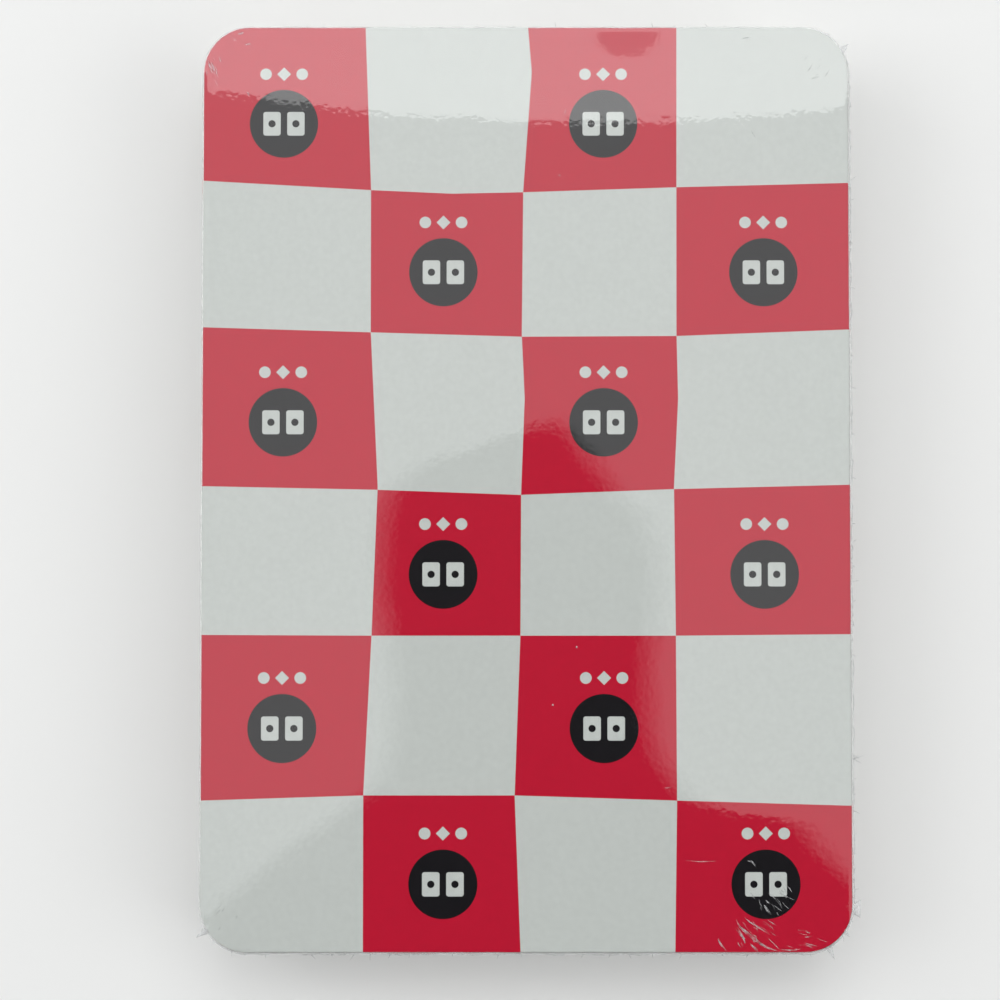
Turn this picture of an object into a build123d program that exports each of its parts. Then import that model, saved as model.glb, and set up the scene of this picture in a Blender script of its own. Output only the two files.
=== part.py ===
from build123d import *
import os

# A deck of large picture-matching cards, sealed in clear shrink film.
# Millimetres. Origin at the middle of the pack's underside, where the film rests on the table.
# +X runs across the cards towards the welded side, +Y up the length of the cards, +Z out of the top face.

# Cards
card_width = 88.9
card_length = 127.0
card_corner_radius = 6.35
card_thickness = 0.33
pair_count = 24
cards_per_pair = 2
card_jog = 0.08  # most that one card lies out of line with the stack, each way

# How the cards lie out of line: the offset comes back after a cycle of cards and moves on by a
# step from card to card, so that no card lines up with its neighbours.
jog_cycle_across = 7
jog_step_across = 3
jog_cycle_along = 5
jog_step_along = 2

# Film
film_thickness = 0.05
film_play = 0.17  # free air between the card that lies furthest out and the film's wall
seam_drop = 2.5  # how far the weld lies below the pack's top face
seam_width = 0.4  # how far the trimmed weld stands out from the wall
seam_runout = 2.0  # how far from the folded side the weld begins

# Sizes that follow from the ones above
card_count = pair_count * cards_per_pair
deck_height = card_count * card_thickness
wall_gap = card_jog + film_play
room_width = card_width + 2 * wall_gap
room_length = card_length + 2 * wall_gap
room_radius = card_corner_radius + wall_gap
pack_width = room_width + 2 * film_thickness
pack_length = room_length + 2 * film_thickness
pack_height = deck_height + 2 * film_thickness
pack_radius = room_radius + film_thickness
seam_height = pack_height - seam_drop

# The film folds over the deck's rims inside the free air, so that its inner face clears the cards.
fold_radius_inside = film_play
fold_radius_outside = fold_radius_inside + film_thickness


def jog(index, cycle, step):
    """Offset of one card from the middle of the stack, between -card_jog and +card_jog."""
    place = (index * step) % cycle
    return card_jog * (2 * place / (cycle - 1) - 1)


def card(index):
    """One card: a flat sheet with rounded corners, lying on the ones below it."""
    outline = RectangleRounded(card_width, card_length, card_corner_radius)
    sheet = extrude(outline, amount=card_thickness)
    across = jog(index, jog_cycle_across, jog_step_across)
    along = jog(index, jog_cycle_along, jog_step_along)
    return Pos(across, along, film_thickness + index * card_thickness) * sheet


def folded_block(width, length, corner_radius, fold_radius, low, high):
    """A block with round upright corners, whose lower rim is folded at fold_radius."""
    block = extrude(RectangleRounded(width, length, corner_radius), amount=high - low)
    rim = block.faces().sort_by(Axis.Z)[0].edges()
    return Pos(0, 0, low) * fillet(rim, fold_radius)


def seam_flange():
    """One half of the weld: a flat rim on three sides, with none at the fold, ending at Z = 0."""
    flange_width = pack_width + 2 * seam_width
    flange_length = pack_length + 2 * seam_width
    rim = RectangleRounded(flange_width, flange_length, pack_radius + seam_width)
    rim -= RectangleRounded(room_width, room_length, room_radius)
    welded_side = Rectangle(flange_width, flange_length, align=(Align.MIN, Align.CENTER))
    rim &= Pos(seam_runout - pack_width / 2, 0) * welded_side
    return extrude(rim, amount=-film_thickness)


def film_half(wall_height):
    """The film on one side of the weld: a flat sheet, folded up round the deck as a low wall."""
    outside = folded_block(
        pack_width, pack_length, pack_radius, fold_radius_outside, 0, wall_height
    )
    room = folded_block(
        room_width, room_length, room_radius, fold_radius_inside, film_thickness, pack_height
    )
    return outside - room + Pos(0, 0, wall_height) * seam_flange()


os.makedirs("parts", exist_ok=True)

for index in range(card_count):
    export_step(card(index), f"parts/card_{index + 1:02d}.step")

film_lower = film_half(seam_height)
film_upper = Pos(0, 0, pack_height) * mirror(film_half(seam_drop), about=Plane.XY)
export_step(film_lower, "parts/film_lower.step")
export_step(film_upper, "parts/film_upper.step")

print(f"pack {pack_width:.2f} x {pack_length:.2f} x {pack_height:.2f} mm, {card_count} cards")
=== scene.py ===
import logging
import math
import random
from dataclasses import dataclass
from enum import Enum
from functools import cached_property

import bmesh
import bpy
from mathutils import Matrix, Vector, noise


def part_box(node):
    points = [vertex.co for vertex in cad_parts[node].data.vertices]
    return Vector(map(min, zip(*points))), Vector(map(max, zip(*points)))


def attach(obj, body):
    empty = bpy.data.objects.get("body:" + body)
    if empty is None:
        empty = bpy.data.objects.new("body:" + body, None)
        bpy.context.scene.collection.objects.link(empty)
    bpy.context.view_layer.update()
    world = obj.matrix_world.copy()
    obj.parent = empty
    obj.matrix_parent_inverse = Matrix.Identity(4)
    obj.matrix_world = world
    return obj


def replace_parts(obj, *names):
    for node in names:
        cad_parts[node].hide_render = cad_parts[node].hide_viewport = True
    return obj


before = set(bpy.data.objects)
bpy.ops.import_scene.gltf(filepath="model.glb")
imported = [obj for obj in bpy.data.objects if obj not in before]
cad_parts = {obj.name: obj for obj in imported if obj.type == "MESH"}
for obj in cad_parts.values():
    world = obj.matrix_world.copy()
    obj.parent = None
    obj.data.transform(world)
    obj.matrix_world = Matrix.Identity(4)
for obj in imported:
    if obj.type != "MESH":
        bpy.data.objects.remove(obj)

# The looks of a sealed deck of picture-matching cards: printed card stock under clear shrink film.
# Lengths are in metres, and MM turns a size written in millimetres into metres.

MM = 0.001
LOG = logging.getLogger("sealed_deck")

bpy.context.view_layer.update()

# Places nearer to each other than this count as one.
TOLERANCE = 1e-6

# How many waves fit in a metre of the weld's ragged trim, and how far they reach as a share of its width.
TRIM_WAVES = ((420.0, 0.45), (1300.0, 0.3))

Point2 = tuple[float, float]
Colour = tuple[float, float, float, float]
Stop = tuple[Vector, Vector]
Mesh = bmesh.types.BMesh
Material = bpy.types.Material
Tree = bpy.types.NodeTree
Socket = bpy.types.NodeSocket
Sockets = bpy.types.bpy_prop_collection
Inputs = dict[str | int, object]


class Body(Enum):
    """The rigid bodies that the modelled pieces ride on."""

    OPENED_FILM = "opened_film"
    FILM_COVER = "film_cover"


class Slot(Enum):
    """The material slots of the record."""

    CARD_STOCK = "card_stock"
    SHRINK_FILM = "shrink_film"


class Bend(Enum):
    """How a drawn line turns at its points."""

    SHARP = "VECTOR"
    SOFT = "AUTO"


@dataclass(frozen=True)
class Grain:
    """An uneven pattern: a noise with its finer layers, and what its values from low to high become."""

    scale: float
    detail: float
    low: float = 0.3
    high: float = 0.7
    start: float = 0.0
    end: float = 1.0


@dataclass(frozen=True)
class Outline:
    """The rounded rectangle that the film's walls follow, seen from above."""

    centre: Vector
    half_x: float
    half_y: float
    radius: float

    @property
    def core(self) -> Point2:
        """Half the width and half the length of the outline's core, which has sharp corners."""
        return self.half_x - self.radius, self.half_y - self.radius

    def from_core(self, spot: Vector) -> Vector:
        """Measures how far a spot lies out from the outline's core.

        Args:
            spot: The place to measure.

        Returns:
            The level way from the nearest point of the core to the spot.
        """
        x, y = spot.x - self.centre.x, spot.y - self.centre.y
        core_x, core_y = self.core
        inner = Vector((max(-core_x, min(core_x, x)), max(-core_y, min(core_y, y)), 0))
        return Vector((x, y, 0)) - inner

    def walk(self, spacing: float) -> list[Stop]:
        """Walks round the outline, from the folded side's far end by the top to its near end.

        Args:
            spacing: Distance between stops on the arcs, and the most on the straights.

        Returns:
            Each stop and the direction out of the outline there.
        """
        stops: list[Stop] = []
        turns = max(2, round(self.radius * math.pi / 2 / spacing))
        for index, (side_x, side_y) in enumerate(((-1, 1), (1, 1), (1, -1), (-1, -1))):
            middle = Vector((side_x * self.core[0], side_y * self.core[1], 0))
            middle += Vector((self.centre.x, self.centre.y, 0))
            for turn in range(turns + 1):
                angle = math.pi - (index + turn / turns) * math.pi / 2
                out = Vector((math.cos(angle), math.sin(angle), 0))
                stops.append((middle + out * self.radius, out))
        filled = stops[:1]
        for (start, out), (end, end_out) in zip(stops, stops[1:]):
            count = max(1, round((end - start).length / spacing))
            filled += [(start.lerp(end, step / count), out) for step in range(1, count)]
            filled.append((end, end_out))
        return filled


@dataclass(frozen=True)
class PackSizes:
    """The pack's sizes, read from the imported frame."""

    low: Vector
    high: Vector
    first_card_z: float
    card_step: float
    seam_z: float
    corner_radius: float = 6.65 * MM
    film: float = 0.038 * MM
    seam_width: float = 0.4 * MM
    seam_runout: float = 2.0 * MM

    @staticmethod
    def from_frame() -> "PackSizes":
        """Reads the sizes from the frame's nodes.

        Returns:
            The sizes of the film's walls and the cards.
        """
        lower_low, lower_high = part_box("film_lower")
        upper_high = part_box("film_upper")[1]
        card_low, card_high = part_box("card_01")
        seam = PackSizes.seam_width
        return PackSizes(
            low=Vector((lower_low.x, lower_low.y + seam, lower_low.z)),
            high=Vector((upper_high.x - seam, upper_high.y - seam, upper_high.z)),
            first_card_z=card_low.z,
            card_step=card_high.z - card_low.z,
            seam_z=lower_high.z,
        )

    @property
    def walls(self) -> Outline:
        """Outline of the film's outer walls, without the weld."""
        half = (self.high - self.low) / 2
        return Outline((self.low + self.high) / 2, half.x, half.y, self.corner_radius)


class Nodes:
    """Adds shader nodes to one tree, so that a material reads from top to bottom."""

    def __init__(self, tree: Tree) -> None:
        """Starts on a tree."""
        self.tree = tree

    @classmethod
    def of_group(cls, name: str, **inputs: str) -> tuple["Nodes", Sockets]:
        """Starts a node group.

        Args:
            name: The group's name.
            inputs: The kind of each input: Vector, Float or Color.

        Returns:
            A helper for the group's tree, and the group's inputs.
        """
        tree = bpy.data.node_groups.new(name, "ShaderNodeTree")
        for label, kind in inputs.items():
            tree.interface.new_socket(name=label, in_out="INPUT", socket_type="NodeSocket" + kind)
        nodes = cls(tree)
        return nodes, nodes.add("NodeGroupInput").outputs

    def give(self, **outputs: Socket) -> Tree:
        """Ends a node group.

        Args:
            outputs: What the group puts out under each name.

        Returns:
            The group's tree.
        """
        kinds = {"VALUE": "NodeSocketFloat", "RGBA": "NodeSocketColor"}
        for label, value in outputs.items():
            self.tree.interface.new_socket(name=label, in_out="OUTPUT", socket_type=kinds[value.type])
        self.add("NodeGroupOutput", outputs)
        return self.tree

    def add(self, kind: str, values: Inputs | None = None, **settings: object) -> bpy.types.Node:
        """Adds one node.

        Args:
            kind: Blender's name for the node, without "ShaderNode" in front.
            values: A socket to link to, a number or a colour for some of its inputs.
            settings: Properties of the node, set before its inputs.

        Returns:
            The new node.
        """
        prefix = "" if kind.startswith("NodeGroup") else "ShaderNode"
        node = self.tree.nodes.new(prefix + kind)
        for name, value in settings.items():
            setattr(node, name, value)
        for name, value in (values or {}).items():
            self.put(node.inputs[name], value)
        return node

    def put(self, socket: Socket, value: object) -> None:
        """Links a socket to another, or sets its value.

        Args:
            socket: The input to fill.
            value: An output socket, a number or a colour.
        """
        if isinstance(value, Socket):
            self.tree.links.new(value, socket)
        else:
            socket.default_value = value

    def use(self, group: Tree, **values: object) -> Sockets:
        """Places a node group with these inputs, and gives its outputs."""
        return self.add("Group", values, node_tree=group).outputs

    def math(self, operation: str, *values: object) -> Socket:
        """Adds a math node with these inputs, and gives its result."""
        return self.add("Math", dict(enumerate(values)), operation=operation).outputs[0]

    def times(self, first: object, second: object) -> Socket:
        """Multiplies two values."""
        return self.math("MULTIPLY", first, second)

    def minus(self, first: object, second: object) -> Socket:
        """Takes the second value from the first."""
        return self.math("SUBTRACT", first, second)

    def split(self, vector: Socket) -> list[Socket]:
        """Takes a vector apart into X, Y and Z."""
        return list(self.add("SeparateXYZ", {0: vector}).outputs)

    def mix(self, share: object, first: object, second: object) -> Socket:
        """Mixes two colours: the share tells how much of the second shows."""
        return self.add("Mix", {"Factor": share, 6: first, 7: second}, data_type="RGBA").outputs[2]

    def blend(self, share: object, first: Socket, second: Socket) -> Socket:
        """Mixes two shaders: the share tells how much of the second shows."""
        return self.add("MixShader", {0: share, 1: first, 2: second}).outputs[0]

    def ramp(self, value: object, low: float, high: float, start: float, end: float) -> Socket:
        """Maps a value from between low and high to between start and end, held at both ends."""
        return self.add("MapRange", dict(enumerate((value, low, high, start, end)))).outputs[0]

    def noise(self, place: Socket, scale: float, detail: float) -> Socket:
        """Adds a noise texture about 0.5: the detail tells how many finer layers lie on the first."""
        return self.add("TexNoise", {"Vector": place, "Scale": scale, "Detail": detail}).outputs["Fac"]

    def grain(self, place: Socket, grain: Grain) -> Socket:
        """Adds an uneven pattern."""
        raw = self.noise(place, grain.scale, grain.detail)
        return self.ramp(raw, grain.low, grain.high, grain.start, grain.end)

    def reach(self, x: Socket, y: Socket) -> Socket:
        """Measures how far a place lies from 0, 0."""
        return self.math("SQRT", self.math("MULTIPLY_ADD", x, x, self.times(y, y)))

    def beyond(self, axis: Socket, core: float) -> Socket:
        """Measures how far a place lies beyond a distance from 0, on either side."""
        return self.math("MAXIMUM", self.minus(self.math("ABSOLUTE", axis), core), 0.0)

    def within(self, distance: object, size: object, soft: float) -> Socket:
        """Gives a mask that is 1 where a distance is under a size, with an edge of a soft width."""
        over = self.math("DIVIDE", self.minus(size, distance), soft)
        return self.add("Math", {0: over, 1: 0.5}, operation="ADD", use_clamp=True).outputs[0]

    def follow(self, along: Socket, points: tuple[Point2, ...], bend: Bend) -> Socket:
        """Follows a line that is drawn through points.

        Args:
            along: Place along the line.
            points: Places along and across through which the line goes.
            bend: How it turns at each of them.

        Returns:
            The line's place across.
        """
        node = self.add("FloatCurve")
        curve = node.mapping.curves[0]
        lows = [min(axis) for axis in zip(*points)]
        spans = [max(axis) - min(axis) for axis in zip(*points)]
        ordered = sorted(((a - lows[0]) / spans[0], (b - lows[1]) / spans[1]) for a, b in points)
        curve.points[0].location, curve.points[-1].location = ordered[0], ordered[-1]
        for spot in ordered[1:-1]:
            curve.points.new(*spot)
        for point in curve.points:
            point.handle_type = bend.value
        node.mapping.update()
        self.put(node.inputs["Value"], self.math("MULTIPLY_ADD", along, 1 / spans[0], -lows[0] / spans[0]))
        return self.math("MULTIPLY_ADD", node.outputs[0], spans[1], lows[1])


class PrintNodes(Nodes):
    """Adds the masks of printed shapes about 0, 0, in millimetres, all with the same soft edge."""

    edge: float = 0.06

    def inside(self, distance: object, size: object) -> Socket:
        """Gives the mask of what lies nearer than a size."""
        return self.within(distance, size, self.edge)

    def disc(self, x: Socket, y: Socket, radius: float) -> Socket:
        """Gives the mask of a disc."""
        return self.inside(self.reach(x, y), radius)

    def diamond(self, x: Socket, y: Socket, reach: float) -> Socket:
        """Gives the mask of a square on its point, which it reaches from the middle."""
        return self.inside(self.math("ADD", self.math("ABSOLUTE", x), self.math("ABSOLUTE", y)), reach)

    def rounded_box(self, x: Socket, y: Socket, half_x: float, half_y: float, rounding: float) -> Socket:
        """Gives the mask of a rectangle with round corners."""
        return self.disc(self.beyond(x, half_x - rounding), self.beyond(y, half_y - rounding), rounding)


def new_material(name: str) -> tuple[Material, Nodes]:
    """Starts a material with an empty tree.

    Args:
        name: The material's name.

    Returns:
        The material, and a helper that adds nodes to it.
    """
    material = bpy.data.materials.new(name)
    material.use_nodes = True
    material.node_tree.nodes.clear()
    return material, Nodes(material.node_tree)


@dataclass(frozen=True)
class CheckLattice:
    """The hand-drawn check on a card's back, in millimetres from the card's middle.

    Each upright line is given from the top edge down, and each level line from left to right, as the
    points where it turns.
    """

    upright: tuple[tuple[Point2, ...], ...] = (
        ((63.5, -22.2), (41.1, -21.4), (21.4, -21.4), (0.0, -20.4), (-20.2, -21.2), (-42.2, -22.3),
         (-63.5, -22.3)),
        ((63.5, 0.3), (57.4, 0.8), (40.8, -0.4), (21.0, -0.6), (12.2, -0.2), (-0.8, -0.7), (-20.2, -0.8),
         (-42.3, -1.6), (-63.5, -0.8)),
        ((63.5, 20.8), (21.2, 20.7), (12.2, 20.9), (0.0, 20.3), (-20.2, 20.5), (-43.0, 20.6), (-63.5, 20.3)),
    )
    level: tuple[tuple[Point2, ...], ...] = (
        ((-44.45, 42.3), (-21.4, 41.0), (-10.2, 40.5), (-0.4, 40.7), (20.8, 41.4), (44.45, 42.0)),
        ((-44.45, 22.0), (-21.4, 21.3), (-0.6, 20.7), (20.7, 20.8), (44.45, 21.7)),
        ((-44.45, 0.1), (-20.4, -0.4), (-0.7, -1.1), (20.3, -0.3), (44.45, 0.3)),
        ((-44.45, -20.3), (-21.2, -20.4), (-0.8, -20.4), (20.5, -20.4), (44.45, -20.2)),
        ((-44.45, -42.9), (-22.3, -42.2), (-1.6, -42.2), (20.6, -42.9), (44.45, -43.6)),
    )


@dataclass(frozen=True)
class DiscRow:
    """The black discs and their small signs, on a steady lattice, in millimetres."""

    first_x: float = -33.45
    first_y: float = 50.22
    step_x: float = 22.05
    step_y: float = 20.9
    bow: float = 0.5
    rows: int = 6
    radius: float = 4.72
    card_apart: float = 1.65
    card_half_width: float = 1.2
    card_half_height: float = 1.65
    card_rounding: float = 0.35
    pip_radius: float = 0.5
    sign_rise: float = 6.9
    sign_apart: float = 2.5
    sign_radius: float = 0.8
    sign_reach: float = 0.96


@dataclass(frozen=True)
class FaceFigure:
    """The rim line and the flower-like figure on a card's face, in millimetres.

    Each side of the rim line is given by its half width, half height and rounding.
    """

    reach: float = 26.0
    heart: float = 8.0
    heart_ring: float = 9.5
    rim_outside: tuple[float, float, float] = (39.5, 58.5, 4.0)
    rim_inside: tuple[float, float, float] = (38.3, 57.3, 3.2)


@dataclass(frozen=True)
class CardFinish:
    """Colours and shine of the printed card stock. Parts of its cut edge are shares of its thickness."""

    red: Colour = (0.525, 0.005, 0.031, 1.0)
    white: Colour = (0.575, 0.603, 0.577, 1.0)
    black: Colour = (0.005, 0.004, 0.006, 1.0)
    cut_edge: Colour = (0.60, 0.59, 0.56, 1.0)
    core: Colour = (0.38, 0.39, 0.41, 1.0)
    face_paper: Colour = (0.62, 0.63, 0.60, 1.0)
    roughness: float = 0.42
    gloss: float = 0.2
    edge_roughness: float = 0.8
    tooth_scale: float = 2.2
    tooth_roughness: float = 0.12
    tooth_height: float = 0.004 * MM
    ink_grain: Grain = Grain(1.3, 3.0, start=0.95)
    core_half: float = 0.06
    core_softness: float = 0.08
    fibres: Grain = Grain(6.0, 3.0, 0.35, 0.65, 0.3, 0.9)
    smeared_ink: Grain = Grain(0.8, 2.0, start=0.2, end=0.7)
    ink_start: float = 0.82
    ink_end: float = 0.97
    # Painted shade between stacked cards: where it begins, as a share of the thickness from the edge's
    # middle, and how dark it gets.
    gap_shade_start: float = 0.455
    painted_gap_shade: float = 0.55

    def back_group(self, lattice: CheckLattice, discs: DiscRow) -> Tree:
        """Builds the print of a card's back: the check, the discs and the small signs.

        Args:
            lattice: Lines of the check.
            discs: Place and sizes of the discs and signs.

        Returns:
            The group. Its input is the place in millimetres, and its output a colour.
        """
        nodes, given = PrintNodes.of_group("card_back_print", Place="Vector")
        x, y, _ = nodes.split(given["Place"])
        crossed = 0.0
        for lines, along, across in ((lattice.upright, y, x), (lattice.level, x, y)):
            for line in lines:
                past = nodes.inside(nodes.follow(along, line, Bend.SHARP), across)
                crossed = nodes.math("ADD", crossed, past)
        red_here = nodes.math("PINGPONG", crossed, 1.0)
        colour = self.add_discs(nodes, nodes.mix(red_here, self.white, self.red), red_here, (x, y), discs)
        inks = {"Factor": 1.0, 6: colour, 7: nodes.grain(given["Place"], self.ink_grain)}
        toned = nodes.add("Mix", inks, data_type="RGBA", blend_type="MULTIPLY")
        return nodes.give(Color=toned.outputs[2])

    def add_discs(
        self, nodes: PrintNodes, colour: Socket, red_here: Socket,
        place: tuple[Socket, Socket], discs: DiscRow,
    ) -> Socket:
        """Prints a black disc that holds two small cards, with three small signs above, on each red check.

        Args:
            nodes: Helper of the tree that it goes into.
            colour: Colour of the check.
            red_here: Mask of the red checks.
            place: Place across and along the card.
            discs: Place and sizes of the discs and signs.

        Returns:
            The colour with discs and signs.
        """
        x, y = place
        column, row = (
            nodes.math("ROUND", nodes.math("MULTIPLY_ADD", axis, 1 / step, -first / step))
            for axis, first, step in ((x, discs.first_x, discs.step_x), (y, discs.first_y, -discs.step_y))
        )
        own_x = nodes.minus(x, nodes.math("MULTIPLY_ADD", column, discs.step_x, discs.first_x))
        steady_y = nodes.math("MULTIPLY_ADD", row, -discs.step_y, discs.first_y)
        bowed = nodes.math("SINE", nodes.times(row, math.pi / (discs.rows - 1)))
        own_y = nodes.minus(y, nodes.math("MULTIPLY_ADD", bowed, discs.bow, steady_y))
        disc = nodes.times(nodes.disc(own_x, own_y, discs.radius), red_here)
        side_x = nodes.math("ABSOLUTE", own_x)
        card_x = nodes.minus(side_x, discs.card_apart)
        card = nodes.rounded_box(
            card_x, own_y, discs.card_half_width, discs.card_half_height, discs.card_rounding
        )
        no_pip = nodes.minus(1.0, nodes.disc(card_x, own_y, discs.pip_radius))
        card = nodes.times(card, no_pip)
        sign_y = nodes.minus(own_y, discs.sign_rise)
        dots = nodes.disc(nodes.minus(side_x, discs.sign_apart), sign_y, discs.sign_radius)
        signs = nodes.math("MAXIMUM", dots, nodes.diamond(own_x, sign_y, discs.sign_reach))
        colour = nodes.mix(disc, colour, self.black)
        colour = nodes.mix(nodes.times(card, disc), colour, self.white)
        return nodes.mix(nodes.times(signs, red_here), colour, self.white)

    def face_group(self, figure: FaceFigure) -> Tree:
        """Builds the print of a card's face: a rimmed field with one big flower-like figure.

        Args:
            figure: Sizes of the rim and the figure.

        Returns:
            The group. Its inputs are the place in millimetres, how many petals the figure has, how
            deep they are cut and its colour.
        """
        nodes, given = PrintNodes.of_group(
            "card_face_print", Place="Vector", Petals="Float", Cut="Float", Figure="Color"
        )
        x, y, _ = nodes.split(given["Place"])
        angle = nodes.math("ARCTAN2", x, y)
        wave = nodes.math("COSINE", nodes.times(angle, given["Petals"]))
        wave = nodes.times(wave, given["Cut"])
        reach = nodes.math("MULTIPLY_ADD", wave, figure.reach, figure.reach)
        distance = nodes.reach(x, y)
        outside = nodes.rounded_box(x, y, *figure.rim_outside)
        rim = nodes.minus(outside, nodes.rounded_box(x, y, *figure.rim_inside))
        printed = nodes.math("MAXIMUM", rim, nodes.inside(distance, reach))
        colour = nodes.mix(printed, self.face_paper, given["Figure"])
        colour = nodes.mix(nodes.inside(distance, figure.heart_ring), colour, self.face_paper)
        colour = nodes.mix(nodes.inside(distance, figure.heart), colour, given["Figure"])
        return nodes.give(Color=colour)

    def edge_group(self) -> Tree:
        """Builds the look of the cut edge: pale skins over a greyer core, with ink drawn over the rim, and
        painted shade that darkens it near each card's top and bottom, where the cards meet.

        Returns:
            The group. Its inputs are how far up its card the place lies, from 0 to 1, the place and
            the colour printed on the back there.
        """
        nodes, given = Nodes.of_group("card_cut_edge", Rise="Float", Place="Vector", Back="Color")
        from_middle = nodes.math("ABSOLUTE", nodes.minus(given["Rise"], 0.5))
        core = nodes.within(from_middle, self.core_half, self.core_softness)
        core = nodes.times(core, nodes.grain(given["Place"], self.fibres))
        colour = nodes.mix(core, self.cut_edge, self.core)
        inked = nodes.ramp(given["Rise"], self.ink_start, self.ink_end, 0.0, 1.0)
        inked = nodes.times(inked, nodes.grain(given["Place"], self.smeared_ink))
        colour = nodes.mix(inked, colour, given["Back"])
        # Painted shade: the edge turns towards black near each card's top and bottom, standing in for the
        # shadow between stacked cards.
        gap = nodes.ramp(from_middle, self.gap_shade_start, 0.5, 0.0, self.painted_gap_shade)
        return nodes.give(Color=nodes.mix(gap, colour, self.black))

    def stock_group(self, sizes: PackSizes) -> Tree:
        """Builds a whole card: its back, its face and its cut edge.

        Args:
            sizes: The pack's sizes, which tell where each card of the stack begins.

        Returns:
            The group. Its inputs are the place in millimetres, the way that the surface faces and
            the figure of the face, and its outputs the colour, the roughness and the paper's tooth.
        """
        nodes, given = Nodes.of_group(
            "card_stock", Place="Vector", Facing="Vector", Petals="Float", Cut="Float", Figure="Color"
        )
        place = given["Place"]
        back = nodes.use(self.back_group(CheckLattice(), DiscRow()), Place=place)["Color"]
        face = nodes.use(
            self.face_group(FaceFigure()),
            Place=place, Petals=given["Petals"], Cut=given["Cut"], Figure=given["Figure"],
        )["Color"]
        above = nodes.minus(nodes.split(place)[2], sizes.first_card_z / MM)
        rise = nodes.math("FRACT", nodes.math("DIVIDE", above, sizes.card_step / MM))
        edge = nodes.use(self.edge_group(), Rise=rise, Place=place, Back=back)["Color"]
        facing = nodes.split(given["Facing"])[2]
        up = nodes.math("GREATER_THAN", facing, 0.5)
        down = nodes.math("LESS_THAN", facing, -0.5)
        colour = nodes.mix(down, nodes.mix(up, edge, back), face)
        tooth = nodes.noise(place, self.tooth_scale, 3.0)
        rough = nodes.ramp(nodes.math("MAXIMUM", up, down), 0.0, 1.0, self.edge_roughness, self.roughness)
        rough = nodes.math("MULTIPLY_ADD", nodes.minus(tooth, 0.5), self.tooth_roughness, rough)
        return nodes.give(Color=colour, Roughness=rough, Tooth=tooth)


@dataclass
class CardStock:
    """The 48 cards, dressed in print. Their solids stay as packed."""

    sizes: PackSizes
    finish: CardFinish = CardFinish()
    petals: tuple[int, ...] = (5, 3, 4, 8, 6, 0)
    petal_cut: float = 0.24
    figure_colours: tuple[Colour, ...] = (
        (0.03, 0.22, 0.55, 1.0),
        (0.06, 0.36, 0.12, 1.0),
        (0.75, 0.36, 0.02, 1.0),
        (0.28, 0.05, 0.32, 1.0),
    )
    mixing_step: int = 7

    def dress(self) -> None:
        """Gives every card the back's print, its pair's face and a cut edge."""
        stock = self.finish.stock_group(self.sizes)
        designs = [(colour, petals) for colour in self.figure_colours for petals in self.petals]
        materials = [self.pair_material(pair, stock, *design) for pair, design in enumerate(designs, 1)]
        names = sorted(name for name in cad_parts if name.startswith("card_"))
        for index, name in enumerate(names):
            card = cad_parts[name]
            card.data.materials.clear()
            card.data.materials.append(materials[(index * self.mixing_step) % len(materials)])
            LOG.info("dressed %s", name)

    def pair_material(self, pair: int, stock: Tree, figure: Colour, petals: int) -> Material:
        """Builds the material of one matching pair.

        Args:
            pair: Which pair, from 1.
            stock: The group of a whole card.
            figure: Colour of the face's figure.
            petals: How many petals the figure has, or 0 for a plain round one.

        Returns:
            The material.
        """
        material, nodes = new_material(f"card_pair_{pair:02d}")
        where = nodes.add("TexCoord").outputs
        scaled = nodes.add("Mapping", {"Vector": where["Object"], "Scale": (1 / MM, 1 / MM, 1 / MM)})
        card = nodes.use(
            stock, Place=scaled.outputs[0], Facing=where["Normal"],
            Petals=float(petals), Cut=self.petal_cut if petals else 0.0, Figure=figure,
        )
        bump = nodes.add(
            "Bump", {"Strength": 0.5, "Distance": self.finish.tooth_height, "Height": card["Tooth"]}
        )
        paper = nodes.add("BsdfPrincipled", {
            "Base Color": card["Color"],
            "Roughness": card["Roughness"],
            "Normal": bump.outputs[0],
            "Specular IOR Level": self.finish.gloss,
        })
        nodes.add("OutputMaterial", {"Surface": paper.outputs[0]})
        return material


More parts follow.
